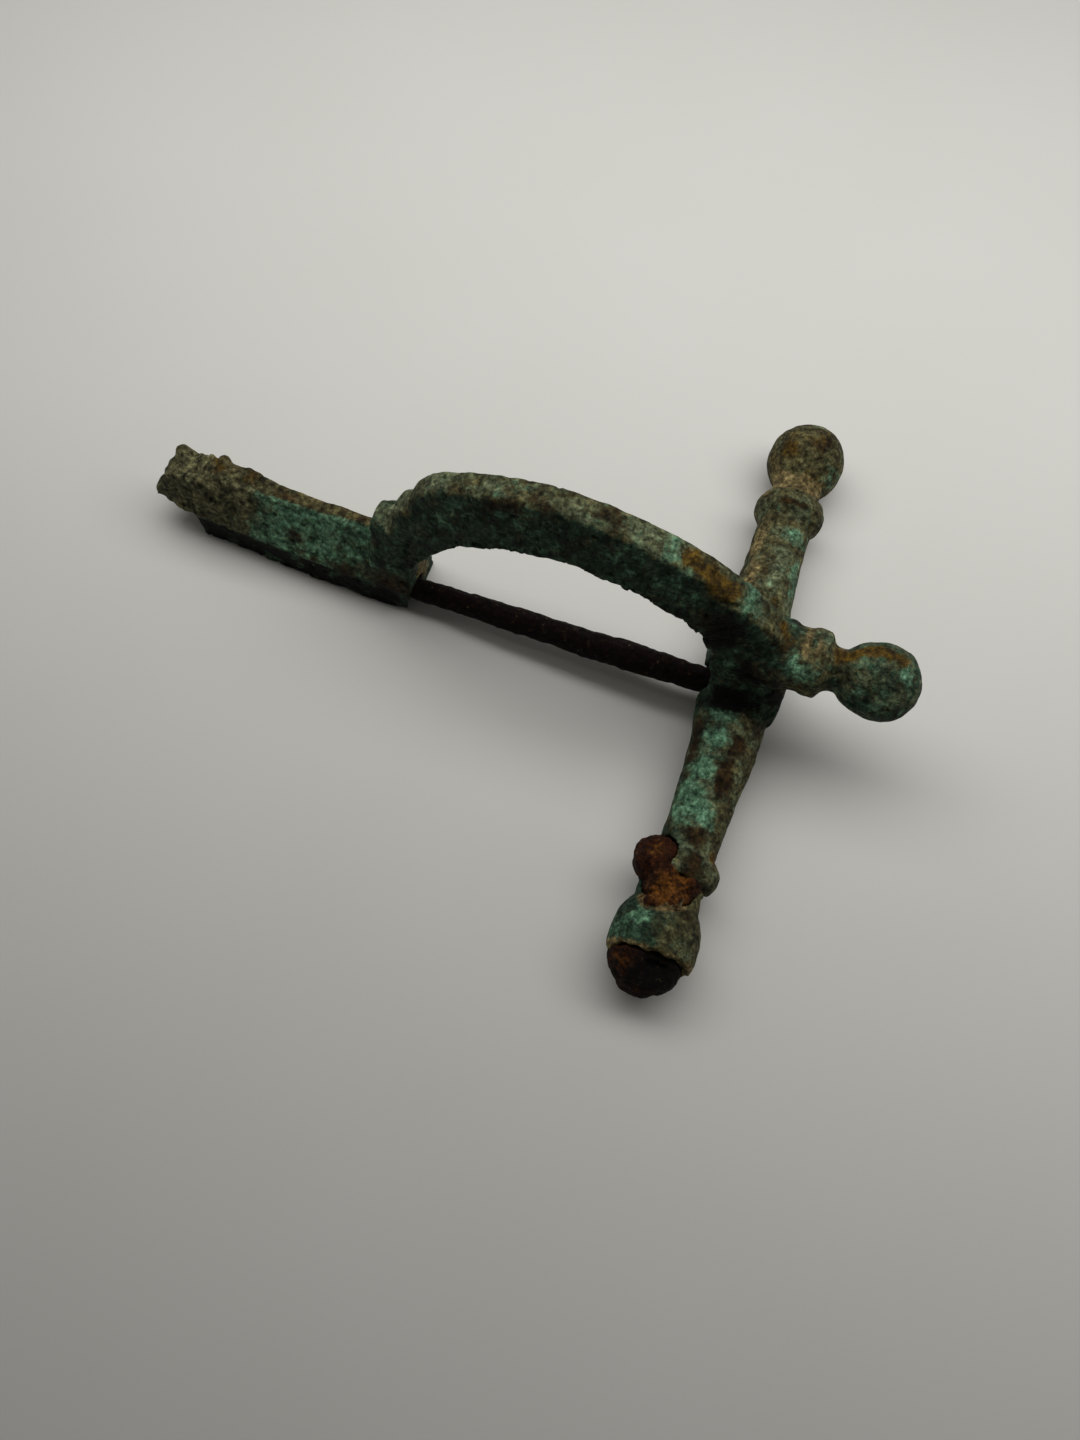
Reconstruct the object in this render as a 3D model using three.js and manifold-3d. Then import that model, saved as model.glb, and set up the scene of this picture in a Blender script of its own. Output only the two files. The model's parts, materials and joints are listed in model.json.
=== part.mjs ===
// A corroded Roman crossbow brooch, lying on its two side knobs and the underside of its foot.
//
// Cast in copper alloy: an arched bow, a foot with a slot along its underside for the pin, and a
// crossbar. A knob closes each end of the crossbar, and a third is cast on the head of the bow.
// An iron axle runs through the crossbar and carries the hinged iron pin.
//
// Millimetres. +Z is up and z = 0 is the surface it lies on. +X runs from the foot to the head
// knob, and Y runs along the crossbar, whose axis stands above x = 0, y = 0 while it is modelled.

import * as THREE from 'three';
import { mergeVertices } from 'three/addons/utils/BufferGeometryUtils.js';
import Module from 'manifold-3d';

const wasm = await Module();
wasm.setup();

// ---------------------------------------------------------------------------------------------
// Driving dimensions
// ---------------------------------------------------------------------------------------------

const SIDES = 28; // sides of a turned form
const FIT = 0.3; // clearance between pieces

// Crossbar and its knobs
const KNOB_RADIUS = 4.1;
const KNOB_CENTRE = 28.2; // from the middle of the crossbar
const NEAR_KNOB_STRETCH = 1.04; // both knobs are a little broader than high
const FAR_KNOB_STRETCH = 1.02;
const AXIS_Z = KNOB_RADIUS; // the side knobs rest on the surface
const ARM_ROOT_RADIUS = 3.8;
const ARM_END_RADIUS = 2.95;
const COLLAR_CENTRE = 21;
const COLLAR_WIDTH = 2.4;
const COLLAR_RADIUS = 3.75;
const NECK_RADIUS = 2.6;
const BURST_NECK_RADIUS = 3; // the near neck, swollen by rust
const NEAR_ARM_BEND = 0.8; // towards the head, near the arm's root

// Iron axle and pin
const AXLE_RADIUS = 1.1;
const EYE_RADIUS = 2.1; // outside of the pin's eye
const EYE_WIDTH = 2.6;
const PIN_Y = -0.95; // the eye sits a little to the near side
const PIN_RADIUS = 1.3;
const PIN_POINT_RADIUS = 0.45;
const PIN_END_X = -58;

// Head
const STEM_Z = 13.4;
const STEM_RADIUS = 3.3;
const STEM_FACE_X = 7;
const HEAD_KNOB_RADIUS = 3.75;
const HEAD_KNOB_STRETCH = 1.18; // it is drawn out towards its neck
const HEAD_KNOB_X = 12.2;
const HEAD_KNOB_Z = 13.7;

// Foot
const FOOT_FRONT_X = -35.4;
const SHEATH_END_X = -61.2;
const TIP_X = -66.2;
const FACE_EDGE_Z = 4; // lower edge of the foot's sloping faces
const SLOT_TOP_Z = 3.3;
const SHEATH_WALL = 0.4;
const UNDERCUT = 0.2;
const LEAN = 0.03; // sideways drift of the bow and foot for each millimetre towards the tip

// ---------------------------------------------------------------------------------------------
// Tools
// ---------------------------------------------------------------------------------------------

/** A closed geometry as a manifold solid. */
function solid(geometry) {
  const bare = geometry.clone();
  bare.deleteAttribute('normal');
  bare.deleteAttribute('uv');
  const merged = mergeVertices(bare, 1e-4);
  const mesh = new wasm.Mesh({
    numProp: 3,
    vertProperties: new Float32Array(merged.attributes.position.array),
    triVerts: new Uint32Array(merged.index.array),
  });
  return new wasm.Manifold(mesh);
}

/** A manifold solid as a geometry with flat faces. */
function toGeometry(manifold) {
  const mesh = manifold.getMesh();
  const geometry = new THREE.BufferGeometry();
  geometry.setAttribute('position', new THREE.BufferAttribute(mesh.vertProperties, 3));
  geometry.setIndex(new THREE.BufferAttribute(mesh.triVerts, 1));
  geometry.computeVertexNormals();
  return geometry;
}

/** Joins a list of rings, each a loop of Vector3 with the same count, into one closed solid. */
function loft(rings) {
  const count = rings[0].length;
  const points = rings.flat();
  const faces = [];
  for (let r = 0; r + 1 < rings.length; r += 1) {
    for (let i = 0; i < count; i += 1) {
      const a = r * count + i;
      const b = r * count + ((i + 1) % count);
      faces.push(a, b, b + count);
      faces.push(a, b + count, a + count);
    }
  }
  for (const [ring, flip] of [[rings[0], true], [rings[rings.length - 1], false]]) {
    const first = flip ? 0 : (rings.length - 1) * count;
    const centre = points.length;
    const middle = ring.reduce((sum, p) => sum.add(p), new THREE.Vector3());
    points.push(middle.divideScalar(count));
    for (let i = 0; i < count; i += 1) {
      const a = first + i;
      const b = first + ((i + 1) % count);
      faces.push(...(flip ? [b, a, centre] : [a, b, centre]));
    }
  }
  const geometry = new THREE.BufferGeometry().setFromPoints(points);
  geometry.setIndex(faces);
  const made = solid(geometry);
  if (made.volume() > 0) return made;
  geometry.setIndex(faces.reverse());
  return solid(geometry);
}

/** A turned form about the Y axis through (0, 0, AXIS_Z), from [radius, y] pairs. */
function turned(profile) {
  const points = profile.map(([radius, y]) => new THREE.Vector2(radius, y));
  const geometry = new THREE.LatheGeometry(points, SIDES);
  geometry.rotateY(Math.PI / SIDES / 2);
  geometry.translate(0, 0, AXIS_Z);
  return solid(geometry);
}

/** A ball at a place. */
function ball(radius, x, y, z, detail = 18) {
  const geometry = new THREE.SphereGeometry(radius, detail, Math.round(detail * 0.7));
  geometry.translate(x, y, z);
  return solid(geometry);
}

/** A box between two corners. */
function box(low, high) {
  const size = high.map((value, i) => value - low[i]);
  const geometry = new THREE.BoxGeometry(...size);
  geometry.translate(...low.map((value, i) => value + size[i] / 2));
  return solid(geometry);
}

/** A smooth line through [x, value] knots, as a function of x. */
function graded(knots) {
  return (x) => {
    const last = knots.length - 1;
    if (x >= knots[0][0]) return knots[0][1];
    if (x <= knots[last][0]) return knots[last][1];
    const i = knots.findIndex((knot, k) => k > 0 && x >= knot[0]);
    const share = (x - knots[i - 1][0]) / (knots[i][0] - knots[i - 1][0]);
    return THREE.MathUtils.lerp(knots[i - 1][1], knots[i][1], share * share * (3 - 2 * share));
  };
}

/** Where the middle of the bow and foot runs: they drift to the far side towards the tip. */
const middleY = (x) => -LEAN * Math.min(x, 0);

/** An even run of values from a to b. */
const run = (a, b, steps) => Array.from({ length: steps + 1 }, (_, i) => a + ((b - a) * i) / steps);

// ---------------------------------------------------------------------------------------------
// Bow
// ---------------------------------------------------------------------------------------------

/** A spline in the XZ plane through [x, z] points. */
const spline = (points) => new THREE.SplineCurve(points.map(([x, z]) => new THREE.Vector2(x, z)));

/** The arched bow: a deep bar with a narrow back, wider below. */
function makeBow() {
  const back = spline([
    [-36.4, 15.4], [-33.8, 20.8], [-29.6, 24.1], [-20.4, 26.6],
    [-11.8, 25.7], [-5, 23.2], [0.4, 19.4], [3.8, 15],
  ]);
  const belly = spline([
    [-33.4, 10.4], [-31.6, 13.3], [-27.2, 17.1], [-19, 20],
    [-11.2, 18.9], [-6.2, 16.7], [-3.9, 13.2], [-3.2, 9],
  ]);
  const steps = 26;
  const rings = run(0, 1, steps).map((t) => {
    const top = back.getPoint(t);
    const low = belly.getPoint(t);
    const backHalf = 1.35 + 0.35 * t;
    const bellyHalf = 2.55 + 0.35 * t * t;
    const section = [
      [-backHalf * 0.72, 0], [backHalf * 0.72, 0], [backHalf, 0.08], [bellyHalf, 0.9],
      [bellyHalf * 0.8, 1], [-bellyHalf * 0.8, 1], [-bellyHalf, 0.9], [-backHalf, 0.08],
    ];
    return section.map(([side, depth]) => {
      const x = THREE.MathUtils.lerp(top.x, low.x, depth);
      const z = THREE.MathUtils.lerp(top.y, low.y, depth);
      return new THREE.Vector3(x, middleY(x) + side, z);
    });
  });
  return loft(rings);
}

/** The block in which the bow comes down on the crossbar. */
function makeRoot() {
  const rings = [
    [1.8, -2.2, 3.6, 3.4], [4.2, -2.6, 4.7, 5.2], [7, -2.6, 4.7, 4.2], [10.5, -3.1, 4.5, 3],
    [14, -3.3, 4, 2.5], [16.6, -2.2, 2.6, 1.9],
  ];
  return loft(rings.map(([z, back, front, half]) => {
    const outline = [
      [back, -half * 0.7], [back * 0.6, -half], [front * 0.6, -half], [front, -half * 0.7],
      [front, half * 0.7], [front * 0.6, half], [back * 0.6, half], [back, half * 0.7],
    ];
    return outline.map(([x, y]) => new THREE.Vector3(x, y, z));
  }));
}

/** The stem, its flared collar and the head knob, turned about a line that rises a little. */
function makeHeadKnob() {
  const rise = Math.atan2(HEAD_KNOB_Z - STEM_Z, HEAD_KNOB_X - STEM_FACE_X);
  const knob = run(0.6, Math.PI, 10).map((angle) => {
    const stretch = angle < Math.PI / 2 ? HEAD_KNOB_STRETCH : 1;
    return [
      HEAD_KNOB_RADIUS * Math.sin(angle),
      HEAD_KNOB_X - HEAD_KNOB_RADIUS * stretch * Math.cos(angle),
    ];
  });
  const profile = [
    [0, 0], [2.8, 0], [3.5, 2.2], [3.5, 3.4], [3.1, 3.8], [3.1, 4.9], [STEM_RADIUS, 5.4],
    [STEM_RADIUS, STEM_FACE_X - 0.3], [STEM_RADIUS - 0.4, STEM_FACE_X], [2.4, STEM_FACE_X + 0.2],
    [2.1, STEM_FACE_X + 0.7],
    ...knob,
  ];
  profile[profile.length - 1][0] = 0;
  const points = profile.map(([radius, x]) => new THREE.Vector2(radius, x));
  const geometry = new THREE.LatheGeometry(points, SIDES);
  geometry.rotateZ(-Math.PI / 2);
  geometry.translate(-HEAD_KNOB_X, 0, 0);
  geometry.rotateY(-rise);
  geometry.translate(HEAD_KNOB_X, 0, HEAD_KNOB_Z);
  return solid(geometry);
}

// ---------------------------------------------------------------------------------------------
// Foot
// ---------------------------------------------------------------------------------------------

const footTop = graded([
  [-34, 10.8], [-40, 10.4], [-47, 10.1], [-53, 10.4], [-57, 10.9], [-60.5, 9.6], [TIP_X, 9.3],
]);
const footRidgeHalf = graded([[-34, 0.7], [-48, 0.8], [-56, 1.25], [-61, 1.8], [TIP_X, 2]]);
const footBaseHalf = graded([[-34, 3.4], [-46, 3.45], [-61, 2.85], [TIP_X, 2.1]]);
const sheathY = (x) => middleY(x) - footBaseHalf(x); // near outer face of the sheath

/** The upper foot: a ridge with two sloping faces, flaring to the broken tip. */
function makeFootBar() {
  const tipSlant = 0.5; // the break runs back towards the far side and the top
  const rings = run(FOOT_FRONT_X, TIP_X, 20).map((x, i) => {
    const tip = THREE.MathUtils.smoothstep(-x, 60, 66);
    const rough = tip * 0.35 * Math.sin(i * 2.1);
    const ridge = footRidgeHalf(x);
    const base = footBaseHalf(x);
    const top = footTop(x) + rough;
    const low = FACE_EDGE_Z - 0.2 - tip * 0.1;
    const outline = [
      [-ridge, top], [ridge, top - 0.2 * tip], [base, FACE_EDGE_Z + 0.5], [base, FACE_EDGE_Z],
      [base - 0.9, low], [0.9 - base, low], [-base, FACE_EDGE_Z], [-base, FACE_EDGE_Z + 0.5],
    ];
    return outline.map(([side, z]) => {
      const back = tip * tipSlant * (0.15 * (side + 2) + (z - FACE_EDGE_Z));
      return new THREE.Vector3(x + back, middleY(x) + side, z);
    });
  });
  return loft(rings);
}

/** The lower foot, down to the surface: the sheath round the pin. */
function makeSheath() {
  const rings = run(FOOT_FRONT_X, SHEATH_END_X, 12).map((x) => {
    const half = footBaseHalf(x);
    const outline = [
      [half - UNDERCUT, FACE_EDGE_Z + 0.4], [half - UNDERCUT, 0.7], [half - 0.05, 0.3],
      [half - 0.05, 0], [-half + 0.05, 0], [-half + 0.05, 0.3], [-half + UNDERCUT, 0.7],
      [-half + UNDERCUT, FACE_EDGE_Z + 0.4],
    ];
    return outline.map(([side, z]) => new THREE.Vector3(x, middleY(x) + side, z));
  });
  return loft(rings);
}

/** The step where the bow leaves the foot, with two worn rolls across its back. */
function makeStep() {
  const levels = [
    [FACE_EDGE_Z, -40.5, FOOT_FRONT_X, 3.35], [8.6, -40.1, -34.9, 2.9], [11.6, -39, -33.4, 2.5],
    [14.2, -37.4, -31.8, 2.3], [17.2, -35.6, -30, 2.05], [20, -33.8, -28.8, 1.6],
  ];
  const block = loft(levels.map(([z, back, front, half]) => {
    const outline = [
      [back, -half * 0.6], [back + 0.8, -half], [front, -half], [front, half],
      [back + 0.8, half], [back, half * 0.6],
    ];
    return outline.map(([x, side]) => new THREE.Vector3(x, middleY(x) + side, z));
  }));
  const rolls = [[-38, 12.4, 1.7, 1.9], [-35.2, 16, 1.6, 1.7]];
  return rolls.reduce((whole, [x, z, radius, half]) => {
    const roll = new THREE.CylinderGeometry(radius, radius, half * 2, 16);
    roll.translate(x, middleY(x), z);
    return whole.add(solid(roll));
  }, block);
}

// ---------------------------------------------------------------------------------------------
// Iron pin and axle
// ---------------------------------------------------------------------------------------------

const pinY = graded([[-3, PIN_Y], [-14, -0.65], [-34, -0.2], [PIN_END_X, 0.3]]);
const pinZ = graded([[0, AXIS_Z], [-2, 4.05], [-18, 3], [-35, 2], [PIN_END_X, 1.45]]);
const pinRadius = graded([
  [-2, PIN_RADIUS], [-12, 1.5], [-22, 1.35], [-34, 1.15], [-50, 0.8], [PIN_END_X, PIN_POINT_RADIUS],
]);

/** A rod along the pin's line, with its own radius at each x. */
function rodAlongPin(from, to, steps, radiusAt, sides) {
  const rings = run(from, to, steps).map((x) => run(0, 2 * Math.PI, sides).slice(0, -1).map(
    (angle) => {
      const radius = radiusAt(x);
      const y = pinY(x) + radius * Math.cos(angle);
      return new THREE.Vector3(x, y, pinZ(x) + radius * Math.sin(angle));
    },
  ));
  return loft(rings);
}

/** The hinged pin: an eye round the axle and a long tapering shank. */
function makePin() {
  const eyeHalf = EYE_WIDTH / 2;
  const eye = turned([
    [0, PIN_Y - eyeHalf], [EYE_RADIUS - 0.2, PIN_Y - eyeHalf], [EYE_RADIUS, PIN_Y - eyeHalf + 0.2],
    [EYE_RADIUS, PIN_Y + eyeHalf - 0.2], [EYE_RADIUS - 0.2, PIN_Y + eyeHalf], [0, PIN_Y + eyeHalf],
  ]);
  const shank = rodAlongPin(-0.9, PIN_END_X, 26, pinRadius, 12);
  return eye.add(shank).subtract(makeBore(PIN_Y - 3, PIN_Y + 3));
}

/** The hole for the axle, between two places along the crossbar. */
function makeBore(from, to) {
  const radius = AXLE_RADIUS + FIT;
  return turned([[0, from], [radius, from], [radius, to], [0, to]]);
}

// The outer end of the near knob's bronze shell is broken away along a steep plane. The rust that
// filled it stands out beyond the break, with a deep pit in its upper side.
const BREAK_NORMAL = new THREE.Vector3(0, -0.99, 0.12).normalize();
const BREAK_DEPTH = 1.85; // from the knob's centre
const SHELL_WALL = 0.5;
const NEAR_KNOB_LENGTH = 1.36; // the near knob is egg-shaped, longer beyond its middle
const RUST_CORE_LENGTH = 1.25; // the filling follows the shell less closely
const BARE_RUST_RADIUS = KNOB_RADIUS - 0.25; // beyond the break it stands within the lost shell
const BARE_RUST_X = -0.2;
const PIT = { radius: 2.4, x: 1.1, y: -31.4, z: 8.2 };

/** The rust that fills the near knob, or with some clearance the hollow it lies in. */
function makeRustCore(clearance) {
  const radius = KNOB_RADIUS - SHELL_WALL - FIT + clearance;
  return ball(radius, 0, 0, 0, 20)
    .scale([1, RUST_CORE_LENGTH, 1])
    .translate([0, -KNOB_CENTRE, AXIS_Z]);
}

/** A thick slab lying beyond the knob's break, moved outward by an amount. */
function beyondBreak(outward) {
  const reach = 12;
  const geometry = new THREE.BoxGeometry(reach, reach, reach);
  geometry.translate(0, 0, reach / 2 + BREAK_DEPTH + outward);
  const turn = new THREE.Quaternion();
  turn.setFromUnitVectors(new THREE.Vector3(0, 0, 1), BREAK_NORMAL);
  geometry.applyQuaternion(turn);
  geometry.translate(0, -KNOB_CENTRE, AXIS_Z);
  return solid(geometry);
}

// Rust swelling out of the near collar, and the lower swelling between it and the knob.
const BLISTERS = [
  { radius: 2.25, x: -2.1, y: -20.9, z: 5.4 },
  { radius: 2.35, x: -0.2, y: -23.4, z: 5.2 },
];

/** The end of the rust filling, which the lost end of the shell has left bare. */
function makeBareRust() {
  const { x, y, z } = PIT;
  return ball(BARE_RUST_RADIUS, 0, 0, 0, 22)
    .scale([1, NEAR_KNOB_LENGTH, 1])
    .translate([BARE_RUST_X, -KNOB_CENTRE, AXIS_Z])
    .intersect(beyondBreak(FIT))
    .subtract(ball(PIT.radius, x, y, z, 14));
}

/** The iron axle, with the rust that swells from the near collar and fills the near knob. */
function makeAxle() {
  const far = KNOB_CENTRE - 1.5;
  const near = -KNOB_CENTRE;
  const rod = turned([[0, near], [AXLE_RADIUS, near], [AXLE_RADIUS, far], [0, far]]);
  const filling = makeRustCore(0).subtract(beyondBreak(FIT + 0.2));
  return rod.add(filling).add(makeBareRust()).add(makeBlisters(0));
}

/** The blisters, or with some clearance the hollow that they have broken in the bronze. */
function makeBlisters(clearance) {
  const [first, second] = BLISTERS.map(({ radius, x, y, z }) => ball(radius + clearance, x, y, z, 14));
  return first.add(second);
}

// ---------------------------------------------------------------------------------------------
// Crossbar and side knobs
// ---------------------------------------------------------------------------------------------

/** How far the near arm is bent towards the head. */
function nearArmBend(y) {
  const rise = THREE.MathUtils.smoothstep(-y, 0, 6);
  const fall = THREE.MathUtils.smoothstep(-y, 6, 24);
  return NEAR_ARM_BEND * rise * (1 - 0.6 * fall);
}

/** The crossbar with a moulded collar at each end. */
function makeCrossbar() {
  const start = COLLAR_CENTRE - COLLAR_WIDTH / 2;
  const end = COLLAR_CENTRE + COLLAR_WIDTH / 2;
  const half = [
    [ARM_ROOT_RADIUS, 3], [ARM_ROOT_RADIUS - 0.45, 8], [ARM_END_RADIUS, 15],
    [ARM_END_RADIUS, start - 0.5], [COLLAR_RADIUS - 0.3, start], [COLLAR_RADIUS, start + 0.6],
    [COLLAR_RADIUS, end - 0.6], [COLLAR_RADIUS - 0.3, end], [0, end],
  ];
  const mirrored = half.map(([radius, y]) => [radius, -y]).reverse();
  return turned([...mirrored, ...half]).warp((point) => {
    point[0] += nearArmBend(point[1]);
  });
}

/** The outline of a side knob with its neck, running out along +Y. */
function sideKnobProfile(inner, outer, neck) {
  const start = COLLAR_CENTRE + COLLAR_WIDTH / 2 + FIT;
  const round = run(Math.asin(neck / KNOB_RADIUS), Math.PI, 12).map((angle) => {
    const stretch = angle > Math.PI / 2 ? outer : inner;
    return [KNOB_RADIUS * Math.sin(angle), KNOB_CENTRE - KNOB_RADIUS * stretch * Math.cos(angle)];
  });
  round[round.length - 1][0] = 0;
  return [[0, start], [neck + 0.2, start], [neck - 0.1, start + 0.5], ...round];
}

/** The far knob, whole, on the end of the axle. */
function makeFarKnob() {
  return turned(sideKnobProfile(1.15, 1.02, NECK_RADIUS))
    .scale([FAR_KNOB_STRETCH, 1, 1])
    .subtract(makeBore(KNOB_CENTRE - 10, KNOB_CENTRE - 1.2));
}

/** The near knob: a hollow shell, burst at the neck and broken open at its outer end. */
function makeNearKnob() {
  const outline = sideKnobProfile(1.3, NEAR_KNOB_LENGTH, BURST_NECK_RADIUS);
  return turned(outline.map(([radius, y]) => [radius, -y]).reverse())
    .scale([NEAR_KNOB_STRETCH, 1, 1])
    .subtract(makeRustCore(FIT))
    .subtract(beyondBreak(0))
    .subtract(makeBore(-KNOB_CENTRE, -KNOB_CENTRE + 10))
    .subtract(makeBlisters(FIT));
}

// ---------------------------------------------------------------------------------------------
// Body
// ---------------------------------------------------------------------------------------------

/** The slot in the crossbar that holds the pin's eye and lets the pin swing down. */
function makeHingeSlot() {
  const half = EYE_WIDTH / 2 + FIT;
  const reach = EYE_RADIUS + FIT;
  return box([-8, PIN_Y - half, -1], [reach, PIN_Y + half, AXIS_Z + reach]);
}

/** The slot along the underside of the foot, in which the pin lies. */
function makePinSlot() {
  const rings = run(-30, PIN_END_X - 1.2, 14).map((x) => {
    const near = sheathY(x) + UNDERCUT + SHEATH_WALL;
    const far = pinY(x) + pinRadius(x) + 0.45;
    const outline = [[near, -1], [far, -1], [far, SLOT_TOP_Z - 0.5], [far - 0.5, SLOT_TOP_Z],
      [near + 0.4, SLOT_TOP_Z], [near, SLOT_TOP_Z - 0.4]];
    return outline.map(([y, z]) => new THREE.Vector3(x, y, z));
  });
  return loft(rings);
}

/** Bow, foot and crossbar, cast as one. */
function makeBody() {
  return makeCrossbar()
    .add(makeRoot())
    .add(makeBow())
    .add(makeHeadKnob())
    .add(makeStep())
    .add(makeFootBar())
    .add(makeSheath())
    .subtract(makePinSlot())
    .subtract(makeHingeSlot())
    .subtract(makeBore(-KNOB_CENTRE, KNOB_CENTRE))
    .subtract(makeBlisters(FIT));
}

// ---------------------------------------------------------------------------------------------
// Assembly
// ---------------------------------------------------------------------------------------------

/** A named mesh with the look of its metal. */
function piece(name, manifold, colour, roughness, metalness) {
  const material = new THREE.MeshStandardMaterial({ color: colour, roughness, metalness });
  const mesh = new THREE.Mesh(toGeometry(manifold), material);
  mesh.name = name;
  return mesh;
}

const brooch = new THREE.Group();
brooch.name = 'crossbow_brooch';
brooch.add(piece('body', makeBody(), 0x3f6b57, 0.8, 0.2));
brooch.add(piece('near_knob', makeNearKnob(), 0x4a6f60, 0.8, 0.2));
brooch.add(piece('far_knob', makeFarKnob(), 0x55502f, 0.75, 0.2));
brooch.add(piece('axle', makeAxle(), 0x5a2c12, 0.95, 0.05));
brooch.add(piece('pin', makePin(), 0x2b1a14, 0.9, 0.1));

// The origin is moved to the middle of the whole outline, on the surface it lies on.
const outline = new THREE.Box3().setFromObject(brooch);
const centre = outline.getCenter(new THREE.Vector3());
brooch.position.set(-centre.x, -centre.y, -outline.min.z);

export default brooch;
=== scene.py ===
# %% [markdown]
# A corroded Roman crossbow brooch, as it came out of the ground: a cast copper-alloy bow and foot,
# a crossbar with knobs, an iron axle that has rusted through the near knob, and an iron pin.
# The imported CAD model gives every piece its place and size. Each piece is dressed here from a
# fine copy of its CAD node, because the real surfaces are the same forms, worn and pitted. They
# could be sculpted by hand with brushes, but noise and named places give the same brooch on
# every run, and one number can be changed without doing the rest again.

# %% Load the frame
import json
from math import radians

import bpy
import numpy as np
from mathutils import Matrix, Vector, noise


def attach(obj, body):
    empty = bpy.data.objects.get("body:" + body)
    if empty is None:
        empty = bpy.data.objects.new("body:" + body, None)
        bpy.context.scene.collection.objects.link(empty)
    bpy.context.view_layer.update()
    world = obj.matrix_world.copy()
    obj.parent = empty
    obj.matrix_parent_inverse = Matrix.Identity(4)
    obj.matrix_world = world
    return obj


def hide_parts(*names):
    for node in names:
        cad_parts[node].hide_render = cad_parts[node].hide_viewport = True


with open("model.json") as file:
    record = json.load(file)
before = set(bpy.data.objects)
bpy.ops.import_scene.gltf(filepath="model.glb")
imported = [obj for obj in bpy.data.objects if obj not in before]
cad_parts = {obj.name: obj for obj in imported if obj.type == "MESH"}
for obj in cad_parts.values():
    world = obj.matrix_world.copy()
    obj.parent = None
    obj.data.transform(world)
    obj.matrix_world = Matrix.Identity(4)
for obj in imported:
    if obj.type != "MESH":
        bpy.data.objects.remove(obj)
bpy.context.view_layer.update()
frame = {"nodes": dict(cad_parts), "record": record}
bpy.ops.object.select_all(action="DESELECT")

# %% [markdown]
# All places below are millimetres from the middle of the crossbar, on the surface the brooch
# lies on: x runs towards the head knob, y along the crossbar to the far side and z up. The hinge
# of the pin gives that middle. Blender works in metres, so one function turns a place into them.

# %% Measures
MM = 0.001
hinge = Vector(frame["record"]["behaviour"]["joints"][0]["pos_m"])
ORIGIN = Vector((hinge.x, hinge.y, 0))


def place(x, y, z):
    """A place on the brooch, in metres."""
    return ORIGIN + Vector((x, y, z)) * MM


print("crossbar's middle, mm:", [round(v / MM, 3) for v in ORIGIN])

# %% [markdown]
# The camera looks steeply down from the near side, close to the brooch, so nearer parts look
# larger. A wide lens and a short distance give that. It could be aimed by a constraint, but then
# its slight roll would have no place, so it is turned by three angles instead.

# %% Camera
SENSOR_HEIGHT, LENS = 36, 26.95
NEAREST_SEEN = 5 * MM
CAMERA_PLACE = place(-4.89, -47.85, 105.93)
TURN, TILT, ROLL = radians(18.83), radians(21.02), radians(0.93)

camera_data = bpy.data.cameras.new("camera")
camera_data.sensor_fit = "VERTICAL"
camera_data.sensor_height = SENSOR_HEIGHT
camera_data.lens = LENS
camera_data.clip_start = NEAREST_SEEN
camera = bpy.data.objects.new("camera", camera_data)
bpy.context.collection.objects.link(camera)
camera.matrix_world = (
    Matrix.Translation(CAMERA_PLACE)
    @ Matrix.Rotation(TURN, 4, "Z")
    @ Matrix.Rotation(TILT, 4, "X")
    @ Matrix.Rotation(ROLL, 4, "Z")
)
bpy.context.scene.camera = camera
print("camera looks along", [round(v, 4) for v in camera.matrix_world.to_3x3() @ Vector((0, 0, -1))])


# %% [markdown]
# Colours are given as they look on a screen, and one function turns them to linear light. One
# small function adds a shader node with its settings and links. A node's inputs are named by
# their label, or by their number where a Mix or Math node has several with the same label.

# %% Colour and node helpers
def colour(code):
    """A hex colour as linear RGBA."""
    parts = [int(code[i:i + 2], 16) / 255 for i in (1, 3, 5)]
    return [c / 12.92 if c <= 0.04045 else ((c + 0.055) / 1.055) ** 2.4 for c in parts] + [1.0]


def add(tree, kind, links=None, **settings):
    """Adds a shader node, sets its properties, and fills or links its inputs."""
    made = tree.nodes.new("ShaderNode" + kind)
    for name, value in settings.items():
        setattr(made, name, value)
    for socket, value in (links or {}).items():
        if isinstance(value, bpy.types.NodeSocket):
            tree.links.new(value, made.inputs[socket])
        else:
            made.inputs[socket].default_value = value
    return made


def new_material(name):
    """A new material with a plain shader, and its node tree and that shader."""
    material = bpy.data.materials.new(name)
    material.use_nodes = True
    tree = material.node_tree
    tree.nodes.clear()
    shader = add(tree, "BsdfPrincipled")
    add(tree, "OutputMaterial", {"Surface": shader.outputs["BSDF"]})
    return material, tree, shader


def per_mm(size):
    """The scale of a pattern whose features are this many millimetres across."""
    return 1 / (size * MM)


print("mid grey is", round(colour("#808080")[0], 3))

# %% [markdown]
# The brooch lies on a sheet of pale, matt card, very slightly warm, which scatters light evenly
# and has no gloss. A wide, soft light from above and behind leaves a soft shadow on the near
# side. A lamp of no size would cut that shadow hard, so the light is a wide panel. The room adds
# a weaker fill, dimmer on the near side, and it costs less than a second panel would.

# %% Floor
CARD_SIZE = 1.2
CARD_TONES = (colour("#d4d3cc"), colour("#dad8d2"))
FIBRE_CLOUDS = 30

bpy.ops.mesh.primitive_plane_add(size=CARD_SIZE, location=(0, 0, 0))
floor = bpy.context.object
floor.name = "pale_card"
card, tree, shader = new_material("matt_card")
coords = add(tree, "TexCoord")
fibre = add(tree, "TexNoise", {
    "Vector": coords.outputs["Object"], "Scale": per_mm(FIBRE_CLOUDS), "Detail": 2.0})
paper = add(tree, "Mix", {0: fibre.outputs["Fac"], 6: CARD_TONES[0], 7: CARD_TONES[1]},
            data_type="RGBA")
tree.links.new(paper.outputs[2], shader.inputs["Base Color"])
shader.inputs["Roughness"].default_value = 0.9
floor.data.materials.append(card)
print("card", CARD_SIZE, "m wide")

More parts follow.
